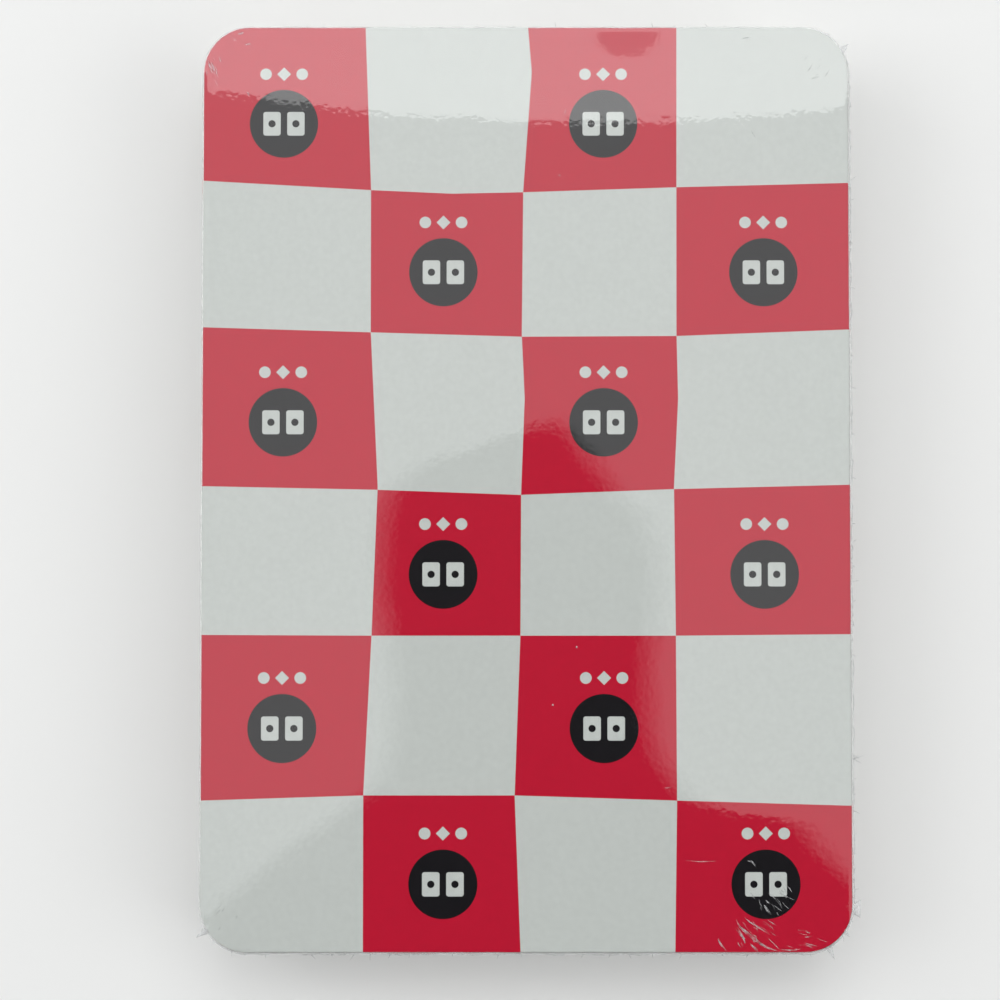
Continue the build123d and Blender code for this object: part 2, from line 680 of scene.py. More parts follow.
@dataclass(frozen=True)
class FilmFinish:
    """Shine of the clear shrink film, and of the milky plastic where it is welded or creased; the creases'
    milkiness is partly a painted highlight, and the milky band along the film's fold is a painted highlight.
    """

    walls: Outline
    ior: float = 1.85
    roughness: float = 0.015
    tint: Colour = (0.97, 0.98, 0.98, 1.0)
    # Milky white of welded and creased plastic, also used for the painted highlights along the fold and the
    # creases.
    milk_and_highlight: Colour = (0.80, 0.81, 0.81, 1.0)
    milk_ior: float = 1.5
    # The painted fold highlight: how much milky white it mixes in, and how rough it is.
    fold_highlight_share: float = 0.45
    fold_highlight_roughness: float = 0.3
    cloud_scale: float = 1400.0
    cloud_roughness: Point2 = (0.16, 0.36)
    swells: Point2 = (150.0, 0.006)
    orange_peel: Point2 = (1300.0, 0.0016)
    fold_width: float = 0.32 * MM
    fold_margin: float = 0.06 * MM
    fold_flat: float = 0.1 * MM
    fold_patches: Grain = Grain(420.0, 3.0, 0.4, 0.62, start=0.3)

    @cached_property
    def ripple(self) -> Tree:
        """Builds the film's waviness: slow swells with a fine orange-peel ripple on them.

        Returns:
            The group. Its output is a height in millimetres.
        """
        nodes, given = Nodes.of_group("film_ripple", Place="Vector")
        slow, fine = (
            nodes.times(nodes.noise(given["Place"], scale, 1.0), height)
            for scale, height in (self.swells, self.orange_peel)
        )
        return nodes.give(Height=nodes.math("ADD", slow, fine))

    @cached_property
    def fold(self) -> Tree:
        """Builds the mask of the painted highlight: a milky, patchy band where the film folds over the
        pack's rims.

        Returns:
            The group. Its inputs are the place and the height of the flat film next to the fold, and
            its output a mask.
        """
        nodes, given = Nodes.of_group("film_fold_highlight", Place="Vector", Height="Float")
        x, y, z = nodes.split(given["Place"])
        reach = nodes.reach(nodes.beyond(x, self.walls.core[0]), nodes.beyond(y, self.walls.core[1]))
        radius = self.walls.radius
        outer = nodes.ramp(reach, radius - self.fold_width, radius - self.fold_margin, 0.0, 1.0)
        level = nodes.math("ABSOLUTE", nodes.minus(z, given["Height"]))
        close = nodes.ramp(level, self.fold_flat, self.fold_width, 1.0, 0.0)
        patches = nodes.grain(given["Place"], self.fold_patches)
        return nodes.give(Mask=nodes.times(nodes.times(outer, close), patches))

    @cached_property
    def cloud(self) -> Tree:
        """The group of milky film's unevenness, which is about 0.5."""
        nodes, given = Nodes.of_group("film_cloud", Place="Vector")
        return nodes.give(Cloud=nodes.noise(given["Place"], self.cloud_scale, 2.0))

    def clear(self, name: str, wave_gain: float, flat_height: float) -> Material:
        """Builds the clear film: see-through, with a mirror-like sheen on the side that faces out, and a
        painted highlight, a band of milky white, along its fold.

        Args:
            name: The material's name.
            wave_gain: How strong the waviness is, 1 for film drawn tight over a flat card.
            flat_height: Height of the flat film next to its fold.

        Returns:
            The material.
        """
        material, nodes = new_material(name)
        place = nodes.add("TexCoord").outputs["Object"]
        height = nodes.use(self.ripple, Place=place)["Height"]
        bump = nodes.add("Bump", {"Distance": MM * wave_gain, "Height": height}).outputs[0]
        fresnel = nodes.add("Fresnel", {"IOR": self.ior, "Normal": bump}).outputs[0]
        front = nodes.minus(1.0, nodes.add("NewGeometry").outputs["Backfacing"])
        sheen = nodes.add("BsdfPrincipled", {
            "Base Color": self.tint, "Metallic": 1.0, "Roughness": self.roughness, "Normal": bump,
        })
        bare = nodes.add("BsdfTransparent")
        film = nodes.blend(nodes.times(fresnel, front), bare.outputs[0], sheen.outputs[0])
        # The milky band along the fold is a painted highlight: white plastic put where the fold catches the
        # light.
        milk_and_highlight = nodes.add("BsdfPrincipled", {"Base Color": self.milk_and_highlight, "Roughness": self.fold_highlight_roughness})
        mask = nodes.use(self.fold, Place=place, Height=flat_height)["Mask"]
        with_fold_highlight = nodes.blend(nodes.times(mask, self.fold_highlight_share), film, milk_and_highlight.outputs[0])
        nodes.add("OutputMaterial", {"Surface": with_fold_highlight})
        return material

    def milky(self, name: str, thin: float, thick: float) -> Material:
        """Builds stressed or melted plastic, which has turned milky; on the creases part of this milky white
        is a painted highlight.

        Args:
            name: The material's name.
            thin: How much it hides where it is clearest, from 0 to 1.
            thick: How much it hides where it is cloudiest.

        Returns:
            The material.
        """
        material, nodes = new_material(name)
        cloud = nodes.use(self.cloud, Place=nodes.add("TexCoord").outputs["Object"])["Cloud"]
        milk_and_highlight = nodes.add("BsdfPrincipled", {
            "Base Color": self.milk_and_highlight,
            "IOR": self.milk_ior,
            "Roughness": nodes.ramp(cloud, 0.3, 0.7, *self.cloud_roughness),
            "Alpha": nodes.ramp(cloud, 0.35, 0.65, thin, thick),
        })
        nodes.add("OutputMaterial", {"Surface": milk_and_highlight.outputs[0]})
        return material


def to_object(mesh: Mesh, name: str, material: Material) -> bpy.types.Object:
    """Turns a mesh into an object of the scene.

    Args:
        mesh: The finished mesh, in place. It is freed.
        name: The object's name.
        material: Its material.

    Returns:
        The object.
    """
    data = bpy.data.meshes.new(name)
    mesh.to_mesh(data)
    mesh.free()
    data.materials.append(material)
    made = bpy.data.objects.new(name, data)
    bpy.context.scene.collection.objects.link(made)
    return made


def finish_piece(mesh: Mesh, name: str, material: Material, body: Body) -> bpy.types.Object:
    """Turns a mesh into a smooth piece of film that rides on a body.

    Args:
        mesh: The finished mesh, in place. It is freed.
        name: The piece's name.
        material: Its material.
        body: The body that it moves with.

    Returns:
        The piece.
    """
    bmesh.ops.recalc_face_normals(mesh, faces=mesh.faces)
    for face in mesh.faces:
        face.smooth = True
    piece = to_object(mesh, name, material)
    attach(piece, body.value)
    LOG.info("built %s: %d faces", name, len(piece.data.polygons))
    return piece


def add_strand(
    mesh: Mesh, path: list[Vector], radii: list[float], sides: int = 6, flatten: float = 1.0
) -> None:
    """Adds a closed tube that follows a path and may taper.

    Args:
        mesh: The mesh that it goes into.
        path: Its middle line.
        radii: Its radius at each point of the path.
        sides: How many sides it has.
        flatten: Its height as a share of its width.
    """
    stops = []
    for index, spot in enumerate(path):
        ahead = path[min(index + 1, len(path) - 1)] - path[max(index - 1, 0)]
        across = ahead.cross(Vector((0, 0, 1))).normalized() * radii[index]
        up = across.cross(ahead).normalized() * flatten * radii[index]
        stop = Matrix((across, up, ahead.normalized())).transposed().to_4x4()
        stop.translation = spot
        stops.append(stop)
    ring = bmesh.ops.create_circle(mesh, cap_ends=True, segments=sides, radius=1.0, matrix=stops[0])["verts"]
    end = ring[0].link_faces[0]
    for here, there in zip(stops, stops[1:]):
        made = bmesh.ops.extrude_face_region(mesh, geom=[end, *end.edges])["geom"]
        ring = [item for item in made if isinstance(item, bmesh.types.BMVert)]
        end = next(item for item in made if isinstance(item, bmesh.types.BMFace))
        bmesh.ops.transform(mesh, matrix=there @ here.inverted(), verts=ring)


@dataclass
class Film:
    """The shrink film: two thin shells drawn over the deck."""

    sizes: PackSizes
    finish: FilmFinish
    tight_wave: float = 1.0
    loose_wave: float = 2.0
    corner_segments: int = 20
    rim_radius: float = 0.22 * MM
    rim_segments: int = 3
    cell: float = 1.7 * MM
    fine_cell: float = 0.8 * MM
    fine_margin: float = 8.0 * MM
    wall_cell: float = 0.8 * MM
    pleat: float = 0.15 * MM
    pleats_in_corner: int = 6
    pleat_lean: float = 5 * MM
    wander: float = 0.13 * MM
    wander_scale: float = 230.0
    wander_inward: float = -0.25
    sway_scale: float = 90.0
    slant: float = 0.8
    stretch: float = 0.25
    rim_looseness: float = 0.2
    pucker: float = 0.045 * MM
    puckers_in_corner: int = 9
    pucker_start: float = 0.35
    pucker_scale: float = 200.0
    flange_drop: float = 0.02 * MM

    def build(self) -> None:
        """Builds both shells and gives them their film."""
        tight = self.finish.clear("film_drawn_tight", self.tight_wave, self.sizes.high.z)
        upper = self.shell(self.sizes.seam_z, self.sizes.high.z, opens_up=False)
        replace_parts(finish_piece(upper, "film_upper_sheet", tight, Body.FILM_COVER), "film_upper")
        loose = self.finish.clear("film_round_sides", self.loose_wave, self.sizes.low.z)
        lower = self.shell(self.sizes.low.z, self.sizes.seam_z, opens_up=True)
        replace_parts(finish_piece(lower, "film_lower_sheet", loose, Body.OPENED_FILM), "film_lower")

    def shell(self, bottom: float, top: float, opens_up: bool) -> Mesh:
        """Builds one half of the film as a thin closed shell with a flange at its open rim.

        Args:
            bottom: Height of its lowest point.
            top: Height of its highest point.
            opens_up: Whether its open side is the upper one.

        Returns:
            The shell's mesh.
        """
        mesh = bmesh.new()
        bmesh.ops.create_cube(mesh, size=1.0)
        extent = self.sizes.high - self.sizes.low
        middle = (self.sizes.low + self.sizes.high) / 2
        middle.z = (bottom + top) / 2
        bmesh.ops.scale(mesh, verts=mesh.verts, vec=(extent.x, extent.y, top - bottom))
        bmesh.ops.translate(mesh, verts=mesh.verts, vec=middle)
        open_z, closed_z = (top, bottom) if opens_up else (bottom, top)
        lids = [f for f in mesh.faces if abs(f.calc_center_median().z - open_z) < TOLERANCE]
        bmesh.ops.delete(mesh, geom=lids, context="FACES")
        upright = [e for e in mesh.edges if abs(e.verts[0].co.z - e.verts[1].co.z) > TOLERANCE]
        bmesh.ops.bevel(
            mesh, geom=upright, offset=self.sizes.corner_radius, segments=self.corner_segments,
            affect="EDGES", profile=0.5, material=-1,
        )
        rim = [
            e for e in mesh.edges
            if all(abs(v.co.z - closed_z) < TOLERANCE for v in e.verts) and len(e.link_faces) == 2
        ]
        bmesh.ops.bevel(
            mesh, geom=rim, offset=self.rim_radius, segments=self.rim_segments,
            affect="EDGES", profile=0.5, material=-1,
        )
        self.cut_into_cells(mesh, bottom, top)
        self.ripple_walls(mesh, bottom, top)
        if not opens_up:
            self.pucker_corners(mesh, closed_z)
        self.add_flange(mesh, open_z, opens_up)
        bmesh.ops.recalc_face_normals(mesh, faces=mesh.faces)
        widest = max(mesh.faces, key=lambda f: f.calc_area())
        if (widest.normal.z > 0) == opens_up:
            bmesh.ops.reverse_faces(mesh, faces=mesh.faces)
        bmesh.ops.solidify(mesh, geom=mesh.faces[:], thickness=self.sizes.film)
        return mesh

    def cut_into_cells(self, mesh: Mesh, bottom: float, top: float) -> None:
        """Cuts a shell into small faces, smaller towards its corners, so that it can be shaped.

        Args:
            mesh: The shell.
            bottom: Height of its lowest point.
            top: Height of its highest point.
        """
        low, high = self.sizes.low, self.sizes.high
        cuts = [(0, spot) for spot in self.graded(low.x, high.x)]
        cuts += [(1, spot) for spot in self.graded(low.y, high.y)]
        rows = max(3, round((top - bottom) / self.wall_cell))
        cuts += [(2, bottom + (top - bottom) * row / rows) for row in range(1, rows)]
        for axis, spot in cuts:
            place, normal = Vector((0, 0, 0)), Vector((0, 0, 0))
            place[axis], normal[axis] = spot, 1.0
            geometry = mesh.verts[:] + mesh.edges[:] + mesh.faces[:]
            bmesh.ops.bisect_plane(mesh, geom=geometry, dist=TOLERANCE, plane_co=place, plane_no=normal)

    def graded(self, start: float, end: float) -> list[float]:
        """Spreads cuts between two ends, close together near both.

        Args:
            start: The first end.
            end: The other end.

        Returns:
            The cuts.
        """
        fine = round(self.fine_margin / self.fine_cell)
        steps = [start + self.fine_cell * (index + 1) for index in range(fine)]
        inner = end - start - 2 * self.fine_margin
        coarse = round(inner / self.cell)
        middle = [start + self.fine_margin + inner * index / coarse for index in range(1, coarse)]
        return steps + middle + [start + end - step for step in reversed(steps)]

    def ripple_walls(self, mesh: Mesh, bottom: float, top: float) -> None:
        """Pleats the film round the corners and lets its walls wander in and out.

        Args:
            mesh: The shell.
            bottom: Height of its lowest point.
            top: Height of its highest point.
        """
        for vert in mesh.verts:
            spot = vert.co
            way = self.sizes.walls.from_core(spot)
            if way.length < self.sizes.corner_radius - 0.5 * self.rim_radius:
                continue
            out = way.normalized()
            at_corner = abs(out.x * out.y) * 2
            sway = noise.noise(spot * self.sway_scale)
            lean = spot.z / self.pleat_lean + 2 * sway
            fold = abs(math.sin(math.atan2(out.y, out.x) * 2 * self.pleats_in_corner + lean))
            # Tension lines slant up to the nearer corner, so the drift is drawn out along a slant.
            slant = spot.z * self.slant
            slanted = Vector((spot.x + slant, spot.y - slant, spot.z * self.stretch))
            drift = max(self.wander_inward, noise.noise(slanted * self.wander_scale)) + 0.5 * sway
            rise = min(1.0, max(0.0, (spot.z - bottom) / (top - bottom)))
            loose = self.rim_looseness + (1 - self.rim_looseness) * math.sin(math.pi * rise)
            vert.co = spot + out * loose * (self.pleat * at_corner * (1 - fold) + self.wander * drift)

    def pucker_corners(self, mesh: Mesh, closed_z: float) -> None:
        """Gathers the flat sheet into small radial puckers inside its rounded corners.

        Args:
            mesh: The shell.
            closed_z: Height of its flat side.
        """
        reach, start = self.sizes.corner_radius, self.pucker_start
        for vert in mesh.verts:
            way = self.sizes.walls.from_core(vert.co)
            flat = abs(vert.co.z - closed_z) < 0.5 * self.rim_radius
            if not flat or way.length < start * reach or min(abs(way.x), abs(way.y)) < TOLERANCE:
                continue
            angle = math.atan2(abs(way.y), abs(way.x))
            stray = 3 * noise.noise(vert.co * self.pucker_scale)
            wave = max(0.0, math.sin(angle * 4 * self.puckers_in_corner + stray))
            share = (way.length / reach - start) / (1 - start)
            vert.co.z += self.pucker * share * math.sin(2 * angle) * wave

    def add_flange(self, mesh: Mesh, open_z: float, opens_up: bool) -> None:
        """Adds the trimmed rim of the weld along the open edge, on every side but the folded one.

        Args:
            mesh: The shell.
            open_z: Height of its open rim.
            opens_up: Whether the open side is the upper one.
        """
        begins = self.sizes.low.x + self.sizes.seam_runout
        rim = [
            e for e in mesh.edges
            if len(e.link_faces) == 1
            and all(v.co.x > begins and abs(v.co.z - open_z) < TOLERANCE for v in e.verts)
        ]
        made = bmesh.ops.extrude_edge_only(mesh, edges=rim)
        drop = Vector((0, 0, -self.flange_drop if opens_up else self.flange_drop))
        for vert in (item for item in made["geom"] if isinstance(item, bmesh.types.BMVert)):
            out = self.sizes.walls.from_core(vert.co).normalized()
            vert.co += out * self.sizes.seam_width * trim_reach(vert.co) + drop


def trim_reach(spot: Vector) -> float:
    """Tells how far the ragged trim of the weld reaches at a place, as a share of its width.

    Args:
        spot: A place along the weld.

    Returns:
        The share, about 1.
    """
    reach = 1.0
    for scale, share in TRIM_WAVES:
        reach += share * noise.noise(Vector((spot.x, spot.y, 0)) * scale)
    return reach


@dataclass(frozen=True)
class Ear:
    """A small tab of film left standing where the weld's trim turns a corner, in millimetres."""

    foot: Point2
    tip: Point2
    width: float


@dataclass
class WeldTrim:
    """The weld's melted bead, its fine threads and the tabs left at the corners."""

    sizes: PackSizes
    finish: FilmFinish
    seed: int = 20
    milkiness: Point2 = (0.4, 0.85)
    spacing: float = 0.45 * MM
    bead_radius: float = 0.055 * MM
    bead_unevenness: float = 0.5
    bead_scale: float = 700.0
    thread_gap: float = 2.6 * MM
    gap_range: Point2 = (0.6, 1.8)
    thread_length: Point2 = (0.25 * MM, 1.0 * MM)
    length_range: Point2 = (0.4, 1.0)
    slant_range: Point2 = (-1.2, 1.2)
    thread_radius: float = 0.055 * MM
    thinning: tuple[float, ...] = (1.3, 0.9, 0.6, 0.15)
    forked_place: Point2 = (45.2, -37.4)
    forks: tuple[float, ...] = (-0.75, 0.8, 0.3)
    fork_length: float = 1.15 * MM
    tip_rise: float = 0.12 * MM
    fold_rise: float = 0.25 * MM
    ears: tuple[Ear, ...] = (
        Ear((43.7, 60.7), (45.0, 61.9), 1.5),
        Ear((-43.6, -60.6), (-45.4, -61.9), 1.5),
        Ear((44.9, -57.3), (45.9, -59.2), 2.6),
        Ear((43.6, -60.9), (44.5, -61.8), 0.9),
        Ear((41.5, -63.0), (42.4, -64.9), 1.1),
    )

    def build(self) -> None:
        """Builds the bead, the threads and the tabs."""
        milky = self.finish.milky("welded_film", *self.milkiness)
        for name, mesh in (("bead", self.bead()), ("threads", self.threads()), ("tabs", self.tabs())):
            finish_piece(mesh, f"weld_{name}", milky, Body.OPENED_FILM)

    def trim_line(self) -> list[Stop]:
        """Follows the trimmed edge of the weld.

        Returns:
            Each stop on the edge, and the direction out of the pack there.
        """
        line = []
        for spot, out in self.sizes.walls.walk(self.spacing):
            if spot.x > self.sizes.low.x + self.sizes.seam_runout:
                edge = spot + out * self.sizes.seam_width * trim_reach(spot)
                line.append((Vector((edge.x, edge.y, self.sizes.seam_z)), out))
        return line

    def bead(self) -> Mesh:
        """Builds the melted bead along the trimmed edge.

        Returns:
            Its mesh.
        """
        mesh = bmesh.new()
        path = [spot for spot, _ in self.trim_line()]
        swell = [1.0 + self.bead_unevenness * noise.noise(spot * self.bead_scale) for spot in path]
        add_strand(mesh, path, [self.bead_radius * share for share in swell])
        return mesh

    def threads(self) -> Mesh:
        """Builds the fine threads that the hot blade drew out of the film.

        Returns:
            Their mesh.
        """
        chance = random.Random(self.seed)
        mesh = bmesh.new()
        since = 0.0
        for spot, out in self.trim_line():
            since += self.spacing
            if since < self.thread_gap * chance.uniform(*self.gap_range):
                continue
            since = 0.0
            along = Vector((-out.y, out.x, 0))
            length = chance.uniform(*self.thread_length) * chance.uniform(*self.length_range)
            self.thread(mesh, spot, out + along * chance.uniform(*self.slant_range), length, chance)
        place = Vector((self.forked_place[0] * MM, self.forked_place[1] * MM, self.sizes.seam_z))
        for slant in self.forks:
            self.thread(mesh, place, Vector((1, slant, 0)), self.fork_length, chance)
        return mesh

    def thread(self, mesh: Mesh, start: Vector, way: Vector, length: float, chance: random.Random) -> None:
        """Adds one thread that bends and thins out to its tip.

        Args:
            mesh: The mesh that it goes into.
            start: Where it leaves the weld.
            way: The direction in which it sets off.
            length: Its length.
            chance: Gives its bend.
        """
        step = way.normalized() * length / 3
        bend = Vector((chance.uniform(-1, 1), chance.uniform(-1, 1), chance.uniform(-1, 0.6))) * length / 12
        path = [start - step * 0.3, start + step, start + step * 2 + bend, start + step * 3 + bend * 3]
        add_strand(mesh, path, [self.thread_radius * share for share in self.thinning], sides=4)

    def tabs(self) -> Mesh:
        """Builds the tabs of film at the corners: thin, three-cornered and slightly folded.

        Returns:
            Their mesh.
        """
        mesh = bmesh.new()
        for ear in self.ears:
            foot = Vector((ear.foot[0] * MM, ear.foot[1] * MM, self.sizes.seam_z))
            tip = Vector((ear.tip[0] * MM, ear.tip[1] * MM, self.sizes.seam_z + self.tip_rise))
            side = (tip - foot).cross(Vector((0, 0, 1))).normalized() * ear.width * MM / 2
            fold = foot + Vector((0, 0, self.fold_rise))
            made = bmesh.ops.create_circle(mesh, cap_ends=True, segments=4, radius=ear.width * MM)
            corners = made["verts"]
            for vert, place in zip(corners, (foot - side, fold, foot + side, tip)):
                vert.co = place
            bmesh.ops.connect_verts(mesh, verts=[corners[1], corners[3]])
        bmesh.ops.subdivide_edges(mesh, edges=mesh.edges[:], cuts=2, use_grid_fill=True, smooth=0.4)
        bmesh.ops.solidify(mesh, geom=mesh.faces[:], thickness=self.sizes.film)
        return mesh


@dataclass(frozen=True)
class Crease:
    """One crease in the film over the top card, in millimetres."""

    path: tuple[Point2, ...]
    width: float


@dataclass(frozen=True)
class CreaseFan:
    """Where many fine creases lie side by side, in millimetres and degrees."""

    middle: Point2
    spread: Point2
    heading: float
    count: int
    longest: float


@dataclass
class FilmCreases:
    """The creases pressed into the film over the top card, most of them at two opposite corners."""

    sizes: PackSizes
    finish: FilmFinish
    seed: int = 5
    # How milky the creases look, where clearest and where cloudiest; partly creased plastic, partly a
    # painted highlight.
    milkiness: Point2 = (0.04, 0.24)
    height_share: float = 0.3
    tip_share: float = 0.08
    rim_margin: float = 0.3 * MM
    heading_spread: float = 9.0
    length_range: Point2 = (0.25, 1.0)
    bow_range: Point2 = (-0.12, 0.12)
    fine_width: Point2 = (0.06, 0.16)
    fans: tuple[CreaseFan, ...] = (
        CreaseFan((31.0, -60.8), (2.6, 1.8), -45.0, 22, 2.4),
        CreaseFan((33.5, -56.0), (2.6, 2.2), -58.0, 14, 1.8),
        CreaseFan((37.5, -61.6), (2.2, 1.2), -12.0, 9, 1.6),
        CreaseFan((-43.0, 58.0), (0.8, 2.2), -68.0, 9, 1.5),
        CreaseFan((-39.5, 61.9), (1.6, 0.8), 8.0, 5, 1.2),
        CreaseFan((40.5, 58.5), (2.2, 2.4), 65.0, 6, 1.3),
        CreaseFan((-40.5, -59.5), (2.0, 2.0), 50.0, 5, 1.2),
    )
    near_corner: tuple[Crease, ...] = (
        Crease(
            ((28.6, -59.0), (29.1, -60.0), (30.2, -61.0), (31.6, -62.1), (33.0, -62.9), (34.6, -63.4)), 0.42
        ),
        Crease(((29.8, -58.8), (30.6, -59.5), (31.8, -60.2), (33.0, -61.0)), 0.24),
        Crease(((28.8, -60.1), (29.6, -61.6), (29.8, -62.3)), 0.30),
        Crease(((26.1, -61.6), (26.5, -62.4), (27.3, -63.3)), 0.28),
        Crease(((30.5, -62.3), (31.2, -63.0), (31.6, -63.4)), 0.34),
        Crease(((34.4, -63.1), (36.0, -63.2), (37.6, -63.0)), 0.22),
        Crease(((37.9, -62.2), (38.9, -62.5), (39.6, -62.6)), 0.20),
        Crease(((32.4, -57.0), (32.8, -57.7), (33.4, -58.4)), 0.34),
        Crease(((32.6, -56.4), (33.2, -56.9)), 0.26),
        Crease(((33.0, -55.4), (33.6, -55.9), (34.2, -56.4)), 0.24),
        Crease(((30.5, -55.3), (31.2, -56.3)), 0.20),
        Crease(((30.1, -51.1), (30.8, -51.2), (31.3, -51.9)), 0.24),
        Crease(((34.4, -55.4), (35.4, -55.9), (36.5, -56.4)), 0.16),
        Crease(((21.7, -51.0), (23.7, -51.2), (26.0, -51.1)), 0.14),
        Crease(((18.9, -41.2), (19.9, -41.1)), 0.22),
    )
    elsewhere: tuple[Crease, ...] = (
        Crease(((-44.0, 59.2), (-43.7, 58.1), (-43.3, 57.2)), 0.30),
        Crease(((-43.6, 58.9), (-43.3, 58.2), (-43.0, 57.4)), 0.20),
        Crease(((-39.9, 62.7), (-39.0, 62.9)), 0.30),
        Crease(((-44.1, 57.8), (-44.2, 57.0)), 0.24),
        Crease(((-38.6, 54.7), (-38.2, 54.1)), 0.18),
        Crease(((39.4, 56.5), (40.6, 56.8)), 0.20),
        Crease(((31.1, 49.3), (31.7, 48.2)), 0.12),
        Crease(((29.9, 62.1), (31.1, 62.3)), 0.20),
        Crease(((5.5, 52.3), (5.3, 51.6)), 0.22),
        Crease(((4.5, 43.2), (4.7, 42.9)), 0.30),
        Crease(((6.8, -21.8), (7.0, -22.1)), 0.34),
        Crease(((3.5, -29.7), (3.7, -30.0)), 0.34),
    )

    def build(self) -> None:
        """Builds all creases as one piece that lies on the film."""
        mesh = bmesh.new()
        level = self.sizes.high.z
        for crease in self.near_corner + self.elsewhere + self.fanned():
            path = self.smoothed([Vector((x * MM, y * MM, level)) for x, y in crease.path])
            last = len(path) - 1
            swell = [self.tip_share + math.sin(math.pi * index / last) for index in range(last + 1)]
            radii = [crease.width * MM / 2 * share for share in swell]
            add_strand(mesh, path, radii, flatten=self.height_share)
        # The creases' milky white is partly creased plastic and partly a painted highlight, standing in for
        # the light that their flanks catch.
        milky = self.finish.milky("creased_film_with_highlight", *self.milkiness)
        finish_piece(mesh, "film_creases", milky, Body.FILM_COVER)

    def fanned(self) -> tuple[Crease, ...]:
        """Draws the fine creases of the fans.

        Returns:
            One crease for each.
        """
        chance = random.Random(self.seed)
        fine = []
        for fan in self.fans:
            for _ in range(fan.count):
                x = fan.middle[0] + fan.spread[0] * chance.uniform(-1, 1)
                y = fan.middle[1] + fan.spread[1] * chance.uniform(-1, 1)
                heading = math.radians(fan.heading + chance.gauss(0, self.heading_spread))
                length = fan.longest * chance.uniform(*self.length_range)
                bow = chance.uniform(*self.bow_range) * length
                way_x, way_y = math.cos(heading), math.sin(heading)
                middle = (x + way_x * length / 2 - way_y * bow, y + way_y * length / 2 + way_x * bow)
                path = ((x, y), middle, (x + way_x * length, y + way_y * length))
                if all(self.on_card(spot) for spot in path):
                    fine.append(Crease(path, chance.uniform(*self.fine_width)))
        return tuple(fine)

    def on_card(self, spot: Point2) -> bool:
        """Tells whether a spot lies on the flat of the film, inside its fold."""
        way = self.sizes.walls.from_core(Vector((spot[0] * MM, spot[1] * MM, 0)))
        return way.length < self.sizes.corner_radius - self.rim_margin

    def smoothed(self, spots: list[Vector]) -> list[Vector]:
        """Adds points between the given ones, so that a crease bends softly.

        Args:
            spots: The crease's points.

        Returns:
            More points along the same way.
        """
        path = []
        for index, (start, end) in enumerate(zip(spots, spots[1:])):
            before = spots[max(index - 1, 0)]
            after = spots[min(index + 2, len(spots) - 1)]
            for share in (0.0, 1 / 3, 2 / 3):
                bow = (start + end - before - after) * share * (1 - share) / 4
                path.append(start.lerp(end, share) + bow)
        return path + [spots[-1]]


@dataclass(frozen=True)
class Softbox:
    """One soft lamp of the studio."""

    name: str
    place: tuple[float, float, float]
    size: tuple[float, float]
    watts: float


def stand(name: str, data: bpy.types.ID, place: Vector, looks: Vector) -> bpy.types.Object:
    """Stands a lamp or the camera in the scene.

    Args:
        name: The object's name.
        data: The lamp or the camera.
        place: Where it stands.
        looks: The direction in which it looks.

    Returns:
        The object.
    """
    holder = bpy.data.objects.new(name, data)
    holder.location = place
    holder.rotation_euler = looks.to_track_quat("-Z", "Y").to_euler()
    bpy.context.scene.collection.objects.link(holder)
    return holder


